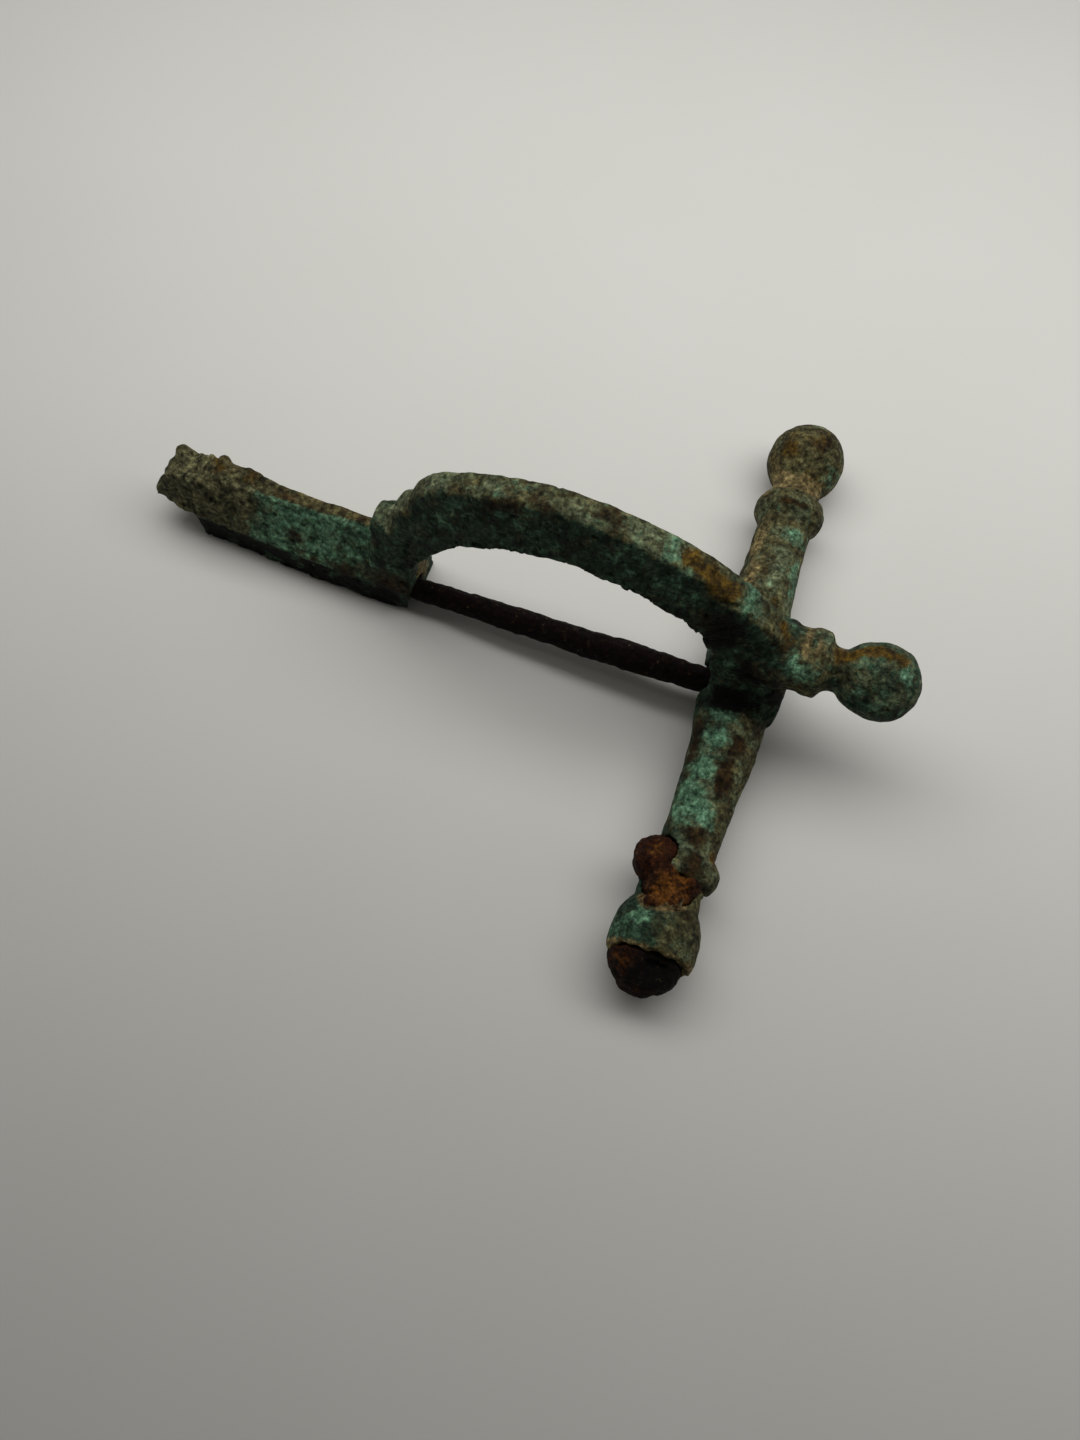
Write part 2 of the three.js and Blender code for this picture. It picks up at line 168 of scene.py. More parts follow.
# %% Light
PANEL_WIDTH, PANEL_DEPTH, PANEL_WATTS = 0.30, 0.11, 0.315
PANEL_PLACE, PANEL_AIM = place(-2, 52, 150), place(-6, 116, 0)
FILL_NEAR, FILL_FAR = 0.03, 0.25

panel_data = bpy.data.lights.new("panel", "AREA")
panel_data.shape = "RECTANGLE"
panel_data.size = PANEL_WIDTH
panel_data.size_y = PANEL_DEPTH
panel_data.energy = PANEL_WATTS
panel = bpy.data.objects.new("panel", panel_data)
panel.location = PANEL_PLACE
panel.rotation_euler = (PANEL_AIM - PANEL_PLACE).to_track_quat("-Z", "Y").to_euler()
bpy.context.collection.objects.link(panel)

room = bpy.data.worlds.new("room")
room.use_nodes = True
background = room.node_tree.nodes["Background"]
background.inputs["Color"].default_value = colour("#fffefc")
direction = add(room.node_tree, "TexCoord")
parts = add(room.node_tree, "SeparateXYZ", {"Vector": direction.outputs["Generated"]})
fill = add(room.node_tree, "MapRange", {
    "Value": parts.outputs["Y"], "From Min": -0.7, "From Max": 0.7,
    "To Min": FILL_NEAR, "To Max": FILL_FAR})
room.node_tree.links.new(fill.outputs["Result"], background.inputs["Strength"])
bpy.context.scene.world = room
bpy.context.scene.view_settings.view_transform = "Standard"
print("one panel and the room's fill")


# %% [markdown]
# A fine copy of a CAD node has its loose triangles merged, is rebuilt as an even skin of small
# quads, and is smoothed until the facets are gone. Subdividing would keep the CAD's long, uneven
# triangles, and pits would come out stretched. On an even skin pits, lumps and chips can be made
# anywhere. Cells of about a fifth of a millimetre hold the smallest grain that shows. The rust
# also gets four round lumps, where it has swollen out of the near collar and neck.

# %% Fine copies: helpers
MERGE_WITHIN = 0.002


def only(piece):
    """Makes this the one selected object."""
    bpy.ops.object.select_all(action="DESELECT")
    piece.select_set(True)
    bpy.context.view_layer.objects.active = piece


def apply(piece, kind, **settings):
    """Puts a modifier on a piece and applies it."""
    only(piece)
    modifier = piece.modifiers.new(kind.lower(), kind)
    for name, value in settings.items():
        setattr(modifier, name, value)
    bpy.ops.object.modifier_apply(modifier=modifier.name)


def fine_copy(node, name, cell, rounds, lumps=()):
    """A smooth, even copy of a CAD node with cells of a size in mm, and round lumps joined to it."""
    piece = bpy.data.objects.new(name, frame["nodes"][node].data.copy())
    bpy.context.collection.objects.link(piece)
    piece.data.materials.clear()
    only(piece)
    bpy.ops.object.mode_set(mode="EDIT")
    bpy.ops.mesh.select_all(action="SELECT")
    bpy.ops.mesh.remove_doubles(threshold=MERGE_WITHIN * MM)
    bpy.ops.object.mode_set(mode="OBJECT")
    for centre, radius in lumps:
        bpy.ops.mesh.primitive_ico_sphere_add(
            subdivisions=3, radius=radius * MM, location=place(*centre))
        piece.select_set(True)
        bpy.context.view_layer.objects.active = piece
        bpy.ops.object.join()
    apply(piece, "REMESH", mode="VOXEL", voxel_size=cell * MM, adaptivity=0)
    apply(piece, "SMOOTH", factor=0.5, iterations=rounds)
    return piece


print("copying tools ready")

# %% Fine copies
RUST_LUMPS = [
    # centre, radius
    ((-1.0, -22.5, 6.6), 1.4), ((1.4, -22.5, 6.2), 1.2),
    ((0.3, -24.7, 7.0), 1.0), ((-1.2, -25.4, 6.9), 0.9),
]
body = fine_copy("body", "cast_body", 0.23, 6)
far_knob = fine_copy("far_knob", "far_end_knob", 0.2, 8)
near_knob = fine_copy("near_knob", "burst_knob", 0.15, 4)
rust = fine_copy("axle", "rusted_axle", 0.15, 10, RUST_LUMPS)
pin = fine_copy("pin", "iron_pin", 0.15, 4)
for piece in (body, far_knob, near_knob, rust, pin):
    print(piece.name, len(piece.data.polygons) * 2, "triangles")


# %% [markdown]
# Wear is sculpted by moving points along their normals. Blender's Displace modifier could do it,
# but it takes one texture at a time, and here several grains of different sizes are limited to
# different parts. So the points are read as arrays, moved all at once, and written back.

# %% Sculpting helpers
def surface(piece):
    """The points and normals of a piece, in millimetres from the crossbar's middle."""
    mesh = piece.data
    points = np.empty(len(mesh.vertices) * 3)
    mesh.vertices.foreach_get("co", points)
    normals = np.empty(len(mesh.vertices) * 3)
    mesh.vertex_normals.foreach_get("vector", normals)
    return (points.reshape(-1, 3) - np.array(ORIGIN)) / MM, normals.reshape(-1, 3)


def reshape(piece, points):
    """Writes moved points back to a piece, none of them below the card."""
    points[:, 2] = np.maximum(points[:, 2], 0)
    piece.data.vertices.foreach_set("co", (points * MM + np.array(ORIGIN)).ravel())
    piece.data.update()


def grain(points, size, seed):
    """Noise from about -1 to 1 with features of a size in millimetres."""
    return np.array([noise.noise(spot) for spot in points / size + seed])


def ease(value, low, high):
    """0 below low and 1 above high, with a soft change between, either way round."""
    share = np.clip((value - low) / (high - low), 0, 1)
    return share * share * (3 - 2 * share)


def near(points, centre, reach):
    """1 at a centre, falling to 0 at a reach, which may differ for each direction."""
    away = np.linalg.norm((points - np.array(centre)) / np.array(reach), axis=1)
    return ease(away, 1, 0)


def patches(points, spots):
    """The strongest of several soft patches, each a centre, a reach and a strength."""
    total = np.zeros(len(points))
    for centre, reach, strength in spots:
        total = np.maximum(total, strength * near(points, centre, reach))
    return total


def streak(points, path, reach):
    """1 along a path through several places, falling to 0 at a reach from it."""
    nearest = np.full(len(points), 9.0e9)
    for start, end in zip(path[:-1], path[1:]):
        start, along = np.array(start), np.array(end) - np.array(start)
        share = np.clip((points - start) @ along / (along @ along), 0, 1)
        away = np.linalg.norm(points - start - share[:, None] * along, axis=1)
        nearest = np.minimum(nearest, away)
    return ease(nearest, reach, 0)


print("sculpting tools ready")

# %% [markdown]
# The two rolls on the step, the crease where the bow meets the crossbar and the lower near corner
# of the foot are worn soft. Their edges could be bevelled in the CAD, but wear has no even
# radius, so the fine skin is smoothed again there, less and less towards the edge of each place.

# %% Soft, worn edges
WORN_SOFT = [
    # centre, reach, strength
    ((-39.5, 1.2, 12.2), (4.5, 5, 4.5), 1.0), ((-38, 1.6, 13.2), 4.6, 1.0),
    ((-35.4, 1.6, 17.0), 4.4, 1.0), ((0.3, -3.6, 9.5), (6, 3.5, 4), 1.0),
    ((-35.4, -2.0, 0.5), 2.4, 1.0),
]
points, normals = surface(body)
soft = patches(points, WORN_SOFT)
group = body.vertex_groups.new(name="soft")
for index in np.nonzero(soft > 0.02)[0]:
    group.add([int(index)], float(soft[index]), "REPLACE")
apply(body, "SMOOTH", factor=0.7, iterations=90, vertex_group="soft")
body.vertex_groups.clear()
print(int((soft > 0.02).sum()), "points worn soft")

# %% [markdown]
# The body's skin undulates gently all over, is pitted at a finer scale, and is lumpy where soil
# has grown into the corrosion at the foot's broken tip. The lower edge of the bow is chipped in
# bites that run across it, so their noise is stretched from side to side.

# %% Waves, pits, crumbs and chips on the body
ARCH_CENTRE = (-17, 8)
TIP_LUMPS = [
    # centre, reach, height
    ((-63.4, 3.6, 9.3), 1.5, 0.75), ((-61.5, 3.6, 9.8), 1.1, -0.5), ((-59.6, 3.4, 10.6), 1.5, 0.65),
    ((-57.4, 3.2, 11.1), 1.1, 0.7), ((-65.4, 1.0, 7.5), 1.6, -0.5),
]


def away_from_arch(points, normals):
    """1 where the skin faces away from the middle of the bow's arch, -1 where it faces it."""
    rays = points[:, [0, 2]] - np.array(ARCH_CENTRE)
    rays /= np.linalg.norm(rays, axis=1, keepdims=True)
    return (normals[:, [0, 2]] * rays).sum(axis=1)


points, normals = surface(body)
x, z = points[:, 0], points[:, 2]
crust_zone = ease(x - 0.6 * (z - 10.2), -47.5, -55.5) * ease(z, 3.2, 4.2)
waves = 0.13 * grain(points, 3.2, 3.1) + 0.09 * grain(points, 1.2, 7.7) + 0.04 * grain(points, 0.6, 9.0)
pits = -0.24 * ease(grain(points, 0.95, 21.0), 0.28, 0.6)
crumbs = crust_zone * (0.28 * grain(points, 0.8, 5.0) + 0.34 * grain(points, 1.7, 15.0))
tip = sum(height * near(points, centre, reach) for centre, reach, height in TIP_LUMPS)
outward = away_from_arch(points, normals)
belly = ease(outward, 0.0, -0.35) * ease(z, 10, 12) * ease(x, -32, -28) * ease(x, 2, 0)
across = points * [1, 0.3, 1]
bites = grain(across, 2.0, 40.0) + 0.6 * grain(across, 0.9, 44.0)
chips = -belly * (0.6 + 0.4 * ease(x, -16, -6)) * ease(bites, 0.02, 0.2)
wear = waves + pits + crumbs + tip + chips
reshape(body, points + normals * wear[:, None])
print("body worn; deepest", round(float(wear.min()), 2), "mm")

# %% [markdown]
# The knobs are worn like the body. The broken edge of the near knob's shell is ragged, so its
# points there are also pushed along the crossbar. Rust has swollen against the bronze, so the
# rusted axle is fattened until the joint closes, and its surface is crumbly. The pin is a rough
# rod, scaled with rust. Bump alone would be quicker, but it shows neither in the outline nor in
# the exported mesh.

# %% Wear on the two side knobs
points, normals = surface(far_knob)
reshape(far_knob, points + normals * (
    0.1 * grain(points, 2.5, 1.0) + 0.06 * grain(points, 0.9, 2.0)
    - 0.18 * ease(grain(points, 1.0, 11.0), 0.3, 0.6))[:, None])

points, normals = surface(near_knob)
y = points[:, 1]
points[:, 1] += 0.55 * ease(y, -28.6, -29.6) * grain(points * [1, 0, 1], 1.5, 31.0)
reshape(near_knob, points + normals * (
    0.12 * grain(points, 2.2, 4.0) + 0.08 * grain(points, 0.8, 6.0) + 0.06)[:, None])
print("side knobs worn")

# %% Wear on the rust and the pin
points, normals = surface(rust)
y = points[:, 1]
bare_end = ease(y, -29.3, -30.3)
blisters = ease(abs(y + 22), 5, 4)
swell = 0.1 * blisters + 0.1 * bare_end
rough = (
    (0.16 + 0.2 * bare_end) * grain(points, 2.2, 9.0) + 0.22 * grain(points, 1.0, 12.0)
    + 0.12 * grain(points, 0.45, 17.0))
reshape(rust, points + normals * (swell + rough)[:, None])

points, normals = surface(pin)
reshape(pin, points + normals * (
    0.14 * grain(points, 1.8, 13.0) + 0.1 * grain(points, 0.7, 14.0) + 0.05)[:, None])
print("rust and pin worn")


# %% [markdown]
# Buried bronze grows several corrosion products, each with its own colour and place. Where each
# lies is stored at every point of the skin: 0 is bare, 0.5 is half covered and 1 or more is
# thick. It could be painted by hand as vertex colours, but amounts worked out from places and
# directions follow the form exactly. The material breaks the edges up.

# %% Painting helper
THICKEST = 1.5


def paint(piece, name, amount):
    """Stores how much of a corrosion product lies at each point."""
    layer = piece.data.attributes.new(name, "FLOAT", "POINT")
    layer.data.foreach_set("value", np.clip(amount, 0, THICKEST).astype(np.float32))


print("amounts run from 0 to", THICKEST)

# %% [markdown]
# The products follow the parts of the body, so each part is found first, as a number that is 1 on
# the part and fades to 0 past its edge.

# %% Where the body's parts are
points, normals = surface(body)
x, y, z = points.T
ny = normals[:, 1]
outward = away_from_arch(points, normals)
on_bow = ease(z, 10.5, 12.5) * ease(x, -39, -37) * ease(x, 3.5, 1.5)
back = on_bow * ease(outward, 0.4, 0.7)
foot = ease(x, -35, -38) * ease(z, 13.5, 11)
far_arm = ease(y, 3, 5) * ease(x, -8, -5)
near_arm = ease(y, -3.5, -5.5) * ease(x, -8, -5)
stem = ease(x, 2.5, 4) * ease(z, 9, 10.5) * ease(x, 8.2, 7.2)
head_knob = ease(x, 7.2, 8.2)
slope = foot * ease(ny, 0.1, -0.25) * ease(z, 4.0, 4.6)
ridge = foot * ease(y, 0.5, 1.3) * ease(z, 8, 9)
print("parts of the body found")

# %% [markdown]
# Khaki earth clings to the back of the bow, the ridge of the foot, the far arm and the head
# knob's stem. Pale, grey-green scale sits on what stands proud, most of all on the two rolls.

# %% Khaki earth and pale scale on the body
EARTH_SPOTS = [((-38, -2, 6), 3.5, 0.5), ((-3.4, -0.5, 22.3), 2.5, 0.6)]
SCALE_SPOTS = [
    ((-38.8, 1.2, 13.4), 3.4, 1.1), ((-35.8, 1.6, 17.4), 3.2, 1.0), ((-31.5, 1, 23), 3, 0.7),
    ((-27, 0.6, 25.2), 4.5, 0.4), ((-11.5, 0.4, 25.6), 4.5, 0.45), ((-18, 0.4, 26.6), 3.5, 0.3),
    ((0.6, 13, 7.2), (2, 6, 3), 0.7), ((1, 20, 7.5), 2.5, 0.4), ((6.5, 0.5, 16), (1, 3.5, 3), 0.75),
    ((10.3, 0, 17), 3, 0.4), ((-40.6, -1.7, 5.5), (0.8, 1.2, 2), 0.9), ((1.5, -19.5, 7), 3, 0.5),
    ((0.5, -13, 7.5), (1.5, 8, 2), 0.4), ((-53, -0.5, 7.5), 2.5, 0.5),
]
paint(body, "earth", (
    0.14 + 0.62 * back + 0.9 * far_arm + 0.3 * near_arm + 0.55 * near_arm * ease(x, 0.2, 1.6)
    + 0.6 * stem + 0.25 * head_knob + 0.9 * ridge + 0.35 * slope * ease(z, 6, 4.5)
    + patches(points, EARTH_SPOTS)))
paint(body, "scale", (
    0.3 * head_knob + 0.34 * back + 0.35 * far_arm + 0.35 * near_arm
    + 0.5 * slope * ease(x, -39, -44) + 0.7 * patches(points, SCALE_SPOTS)))
print("earth and scale painted")

# %% [markdown]
# Powdery verdigris is brightest on the near slope of the foot, on the near arm and in patches on
# the bow and the head knob. A trace of it lies everywhere except on the foot's ridge.

# %% Verdigris on the body
VERDIGRIS_SPOTS = [
    ((-50.1, 0.1, 9.0), 5.5, 0.95), ((-46.2, 0.1, 9.0), 4.6, 0.9), ((-42.0, 0.8, 10), 4.2, 0.85),
    ((-51, -1.6, 5.6), 4.5, 0.65), ((-45, -1.6, 5.6), 4.5, 0.7), ((-41.5, -0.5, 7.5), 4, 0.6),
    ((-9.4, -0.2, 24.9), 2.2, 0.7), ((-1.6, 0.4, 21.2), 2.8, 0.9), ((-13, -1.8, 23), 4.5, 0.45),
    ((-8.5, -1.6, 23), 4, 0.5), ((-30, -0.9, 21), 4, 0.5), ((-22, -1.5, 23.5), 5, 0.4),
    ((1.4, 17, 6.9), 2.2, 0.8), ((2.5, 12, 5.8), (1.4, 5, 2.2), 0.75),
    ((5.2, -2.3, 15.4), 2.4, 0.9), ((4, -1.9, 15.6), 1.9, 0.85),
    ((-0.2, -5.6, 7.6), 2.6, 0.85), ((-0.4, -7.6, 7.3), 2.6, 1.0), ((-0.9, -11.2, 6.9), 3.2, 1.0),
    ((-1.2, -14.7, 6.5), 3.6, 1.15), ((1.2, -16, 7), 2.0, 1.0), ((-1.4, -2.9, 12.1), 2.4, 0.7),
    ((13.5, 0, 17), 2.2, 0.6), ((10.5, -3.3, 14.5), 4, 0.45), ((10, 0.3, 16.8), 2, 0.4),
]
paint(body, "verdigris", (1 - 0.9 * ridge) * (
    0.14 + 0.3 * slope * ease(x, -40, -46) + 0.75 * patches(points, VERDIGRIS_SPOTS)))
print("verdigris painted")

# %% [markdown]
# Tan scale lines the far arm, the head knob's stem and the front of the foot. Golden-brown stains
# run in streaks over the head knob and the back of the bow, and lie in spots on the ridge.

# %% Tan scale and golden stains on the body
TAN_SPOTS = [
    ((-2.4, 15.6, 6), (1.6, 5.5, 2.6), 0.9), ((-2, 11, 6.4), (1.6, 4.5, 2.6), 0.85),
    ((-3, 21.5, 6), (1.5, 1.5, 2.5), 0.7), ((0, 22.2, 7), (3.5, 0.7, 3), 0.7),
    ((4.6, 0.6, 16), (0.8, 3.8, 3), 1.0), ((5.6, 0.1, 16.4), (0.5, 3.5, 3), 0.7),
    ((7.7, 0.6, 15.6), (1.3, 2.4, 1.6), 0.95), ((-35.2, 1.6, 4), (1.2, 3.0, 6), 1.0),
]
KNOB_STREAK = [(7.8, 0.4, 15.4), (9.6, 1.2, 16.6), (11.2, 1.4, 17.2), (13.2, 0.8, 17.3)]
BACK_STAIN = [(-7.8, 0.2, 24.5), (-5.6, -0.2, 23.4), (-3.9, -0.5, 22.3)]
GOLD_SPOTS = [
    ((-57.6, 2.2, 10.4), 2.6, 1.1), ((-55.0, 2.0, 10.5), 2.8, 1.1), ((2.6, 5.5, 5.8), 1.2, 0.5),
    ((1.1, 7.5, 7.4), (0.9, 3.5, 1.6), 0.8), ((2.0, 0.4, 17.6), 1.5, 0.95),
    ((2.8, -0.2, 16.6), 1.4, 0.9), ((2.9, -19.2, 5.9), 1.4, 0.8),
]
paint(body, "tan", 0.35 * ridge * ease(x, -54, -50) + patches(points, TAN_SPOTS))
paint(body, "gold", (
    1.1 * streak(points, KNOB_STREAK, 1.5) + 1.05 * streak(points, BACK_STAIN, 2.0)
    + patches(points, GOLD_SPOTS)))
print("tan and gold painted")

# %% [markdown]
# Umber stains dull the ridge and break up the green. Black paint stands for the shade where light
# hardly reaches, with some dirt in it: the underside of the bow, the crease at its root and the near
# wall below the foot's slope, where its edge is uneven. Soil and corrosion have grown together into a
# crust on the foot's tip.

# %% Umber, painted shade with dirt, and crust on the body
UMBER_SPOTS = [
    ((-48.5, -1.0, 6.4), 3.4, 0.42), ((-37.4, -2.1, 5), 4.2, 0.75),
    ((-44, -2, 4.8), (5, 1.6, 1.6), 0.55), ((-24.5, -0.8, 25.2), (6, 1.2, 1.6), 0.6),
    ((-22, 0.4, 26.3), 4, 0.4), ((-14.5, 0, 26.2), 3.5, 0.25), ((-3.3, -2.1, 18.3), 3.6, 0.6),
    ((-2.2, -8.4, 5.8), (1.1, 4.5, 2.4), 0.85), ((2.0, -7.7, 7.0), 1.7, 0.9),
    ((1.6, -11.8, 7.0), (1.4, 3.4, 1.8), 0.85), ((0.5, -17.8, 7.0), 2, 0.75),
    ((1.3, -20.7, 7.6), 2.2, 0.6), ((-0.5, 20.3, 7.8), (3, 0.8, 1.5), 0.85),
    ((-0.5, 14, 7.6), (0.8, 5, 1.5), 0.5), ((3, -1, 16), 2, 0.5), ((1.3, -3.2, 13.1), 3.5, 0.6),
]
# black painted shade, partly dirt, in the creases at the bow's root and where the near arm meets it
SHADE_AND_DIRT_SPOTS = [
    ((0.3, -4, 8.2), (5.5, 2.4, 3.2), 1.2), ((-3.0, -2.4, 17.5), (4.2, 2.4, 6), 0.95),
    ((0.8, -3.2, 12.5), (4.5, 2, 4.5), 0.85), ((-35.3, -1.6, 6), (1.5, 2, 2.6), 0.8),
    ((4.5, -3.6, 9), 3.6, 0.9), ((-0.5, -4.3, 2), (6, 4, 3), 0.8),
]
uneven = grain(points, 1.6, 33.0)
# painted shade on the foot's near wall below the slope, with an uneven edge
shaded_near_wall = (
    foot * ease(z + 0.9 * uneven, 4.5, 3.1) * (1.05 - 0.55 * ease(uneven, -0.1, 0.45))
    * ease(ny, 0.1, -0.3))
paint(body, "umber", (
    0.16 + 0.3 * ridge + 0.1 * near_arm * ease(x, -0.5, 1.5) + patches(points, UMBER_SPOTS)))
# painted shade, partly dirt: black on the foot's near wall, the bow's underside and the root's creases
paint(body, "shade_and_dirt", (
    shaded_near_wall + 0.55 * on_bow * ease(outward, -0.2, -0.9) + patches(points, SHADE_AND_DIRT_SPOTS)))
paint(body, "crust", crust_zone * (1 - 0.6 * ridge * ease(x, -60, -57)))
print("umber, dirt and crust painted")

# %% [markdown]
# The far knob is olive brown all over, under earth and golden stains, with a tan ring where it
# meets the collar. The near knob is green on the foot's side and earthy on the other. Its broken
# rim is tan, and so is the crack along which rust burst its neck.

# %% Corrosion on the far knob
points, normals = surface(far_knob)
y = points[:, 1]
paint(far_knob, "earth", np.full(len(points), 0.85))
paint(far_knob, "scale", patches(points, [((0, 31.5, 7), 3, 0.6), ((-3.2, 28, 6.5), 1.8, 0.5)]))
paint(far_knob, "verdigris", patches(points, [((3.2, 26.2, 5.6), 2.8, 0.6), ((3, 29.5, 6), 2, 0.35)]))
paint(far_knob, "tan", 0.95 * ease(y, 25.2, 24.2) + patches(points, [((-3, 25.3, 5.6), 2.2, 0.8)]))
paint(far_knob, "gold", 0.3 + patches(points, [
    ((-2.2, 27.2, 7.2), 1.6, 0.55), ((1.2, 29.2, 7.6), 1.8, 0.4)]))
paint(far_knob, "umber", patches(points, [((0.6, 28.6, 8), 4, 0.5), ((-1.5, 30, 7), 2.5, 0.4)]))
print("far knob painted")

# %% Corrosion on the near knob
points, normals = surface(near_knob)
x, y = points[:, 0], points[:, 1]
CRACK = [(-2.9, -24.6, 6.6), (-1.4, -26.4, 7.2), (0.2, -25.4, 7.6), (1.8, -24.4, 7.2)]
paint(near_knob, "earth", 0.85 * ease(x, -2.8, 2.6))
paint(near_knob, "scale", patches(points, [((2.6, -28.5, 7), 2.4, 0.6), ((0.5, -25.8, 7.5), 1.8, 0.5)]))
paint(near_knob, "verdigris", patches(points, [
    ((-2, -27.0, 7.5), 1.9, 1.0), ((-3.4, -28.3, 6), 3.0, 0.75)]))
paint(near_knob, "tan", 0.75 * ease(y, -29.0, -29.7) + 1.3 * streak(points, CRACK, 0.8))
paint(near_knob, "umber", patches(points, [((2.2, -25.6, 6.6), 1.8, 0.6), ((3.4, -28, 4), 2, 0.4)]))
paint(near_knob, "gold", patches(points, [((3.2, -27, 6), 1.3, 0.5)]))
paint(near_knob, "rust", patches(points, [((-0.6, -24.8, 7), (2.8, 2.2, 3), 1.0)]))
print("near knob painted")

# %% [markdown]
# The axle's rust is nearly black where it is whole and orange where it has flaked. Its crack holds
# pale scale. Black painted shade, partly dirt, lies in the hollow of the broken knob and over its bare
# end.

# %% Flaked rust, pale scale, and painted shade with dirt on the axle's rust
points, normals = surface(rust)
paint(rust, "flaked", patches(points, [
    ((-0.2, -23.6, 7), 3.6, 0.95), ((-2.4, -20.6, 7.4), 1.8, 0.6), ((-3.4, -21.6, 5.6), 1.6, 0.5),
    ((-2.7, -31.4, 6), 2.2, 0.6)]))
paint(rust, "pale", 1.2 * streak(points, CRACK, 0.7))
# painted shade, partly dirt: black in the hollow of the burst knob and over the axle's bare end
paint(rust, "shade_and_dirt", 0.45 * bare_end + patches(points, [
    ((1.3, -30.9, 6.8), 3.6, 1.2), ((1.5, -32.5, 3), 3.5, 0.7),
    ((-1.6, -22.6, 6.6), (1.8, 0.7, 1.2), 0.7)]))
print("rust painted")

# %% [markdown]
# Patina is matt mineral, not metal: copper chlorides and carbonates with soil in them. The ground
# is a smooth deep green, streaked where the metal was filed. Over it, in the order they lie, come
# khaki earth, pale scale, powdery verdigris, tan scale, golden and umber stains, rust, a gritty
# crust and, last, black painted shade with some dirt in it. Each could be an image on an unwrapped
# mesh, but noise on Object coordinates needs no unwrapping and keeps its real size everywhere.

# %% Tones of the patina
# darker tone, lighter tone, size of the mottling in mm
GROUND = ("#0e160e", "#334b38", 1.1)
LAYERS = [
    # painted name, darker tone, lighter tone, size of its mottling in mm
    ("earth", "#221e0e", "#5e5a3a", 0.8),
    ("scale", "#343b29", "#727a5b", 0.6),
    ("verdigris", "#2a4935", "#6c9273", 0.6),
    ("tan", "#483d24", "#877850", 0.6),
    ("gold", "#281c08", "#5e4812", 0.9),
    ("umber", "#140e06", "#3a2a11", 0.9),
    ("rust", "#190a03", "#5e350f", 0.6),
    ("crust", "#15150c", "#6f6c4b", 0.9),
    # last, black painted shade, partly dirt, for creases, undersides and the foot's near wall
    ("shade_and_dirt", "#010100", "#080604", 0.7),
]
print(len(LAYERS), "layers over the ground")


# %% [markdown]
# A layer has two tones that a fine noise mixes. Its edge is ragged, because another noise is added
# to the painted amount before a threshold decides what is covered.

# %% Layer helpers
def ragged_cover(tree, coords, layer, size):
    """How far a painted layer covers each point, its edge broken up by noise."""
    amount = add(tree, "Attribute", attribute_name=layer)
    noise_at_edge = add(tree, "TexNoise", {
        "Vector": coords, "Scale": per_mm(size), "Detail": 6.0, "Roughness": 0.72})
    push = add(tree, "MapRange", {
        "Value": noise_at_edge.outputs["Fac"], "From Min": 0.3, "From Max": 0.7,
        "To Min": -0.5, "To Max": 0.5})
    total = add(tree, "Math", {0: amount.outputs["Fac"], 1: push.outputs["Result"]}, operation="ADD")
    return add(tree, "MapRange", {
        "Value": total.outputs["Value"], "From Min": 0.22, "From Max": 0.86,
    }, interpolation_type="SMOOTHSTEP").outputs["Result"]


def two_tones(tree, coords, low, high, size):
    """Two tones of one product, mottled at a size in millimetres."""
    tones = add(tree, "TexNoise", {
        "Vector": coords, "Scale": per_mm(size), "Detail": 5.0, "Roughness": 0.7})
    spread = add(tree, "MapRange", {
        "Value": tones.outputs["Fac"], "From Min": 0.36, "From Max": 0.68})
    return add(tree, "Mix", {0: spread.outputs["Result"], 6: colour(low), 7: colour(high)},
               data_type="RGBA").outputs[2]


print("layer helpers ready")


# %% [markdown]
# The layers are mixed over the ground in turn, each with its noise shifted so that no two edges
# match. Then cloudy shade and grain darken the pits and lighten the grit, and the same grain
# makes the pits rougher and raises the bump. Powdery mineral reflects far less than a smooth
# surface, so the specular level is low. Real grit is finer than a tenth of a millimetre, and it
# is drawn at half a millimetre so that it shows.

# %% Patina of the copper alloy
GRIT, LUMPS, CLOUDS = 0.5, 0.9, 2.0
EDGE_RAGS = 2.6
FILING_ANGLE, FILING_STRETCH = radians(40), 0.4
LAYER_SHIFT = 0.013  # metres
DUSTY_SPECULAR = 0.14


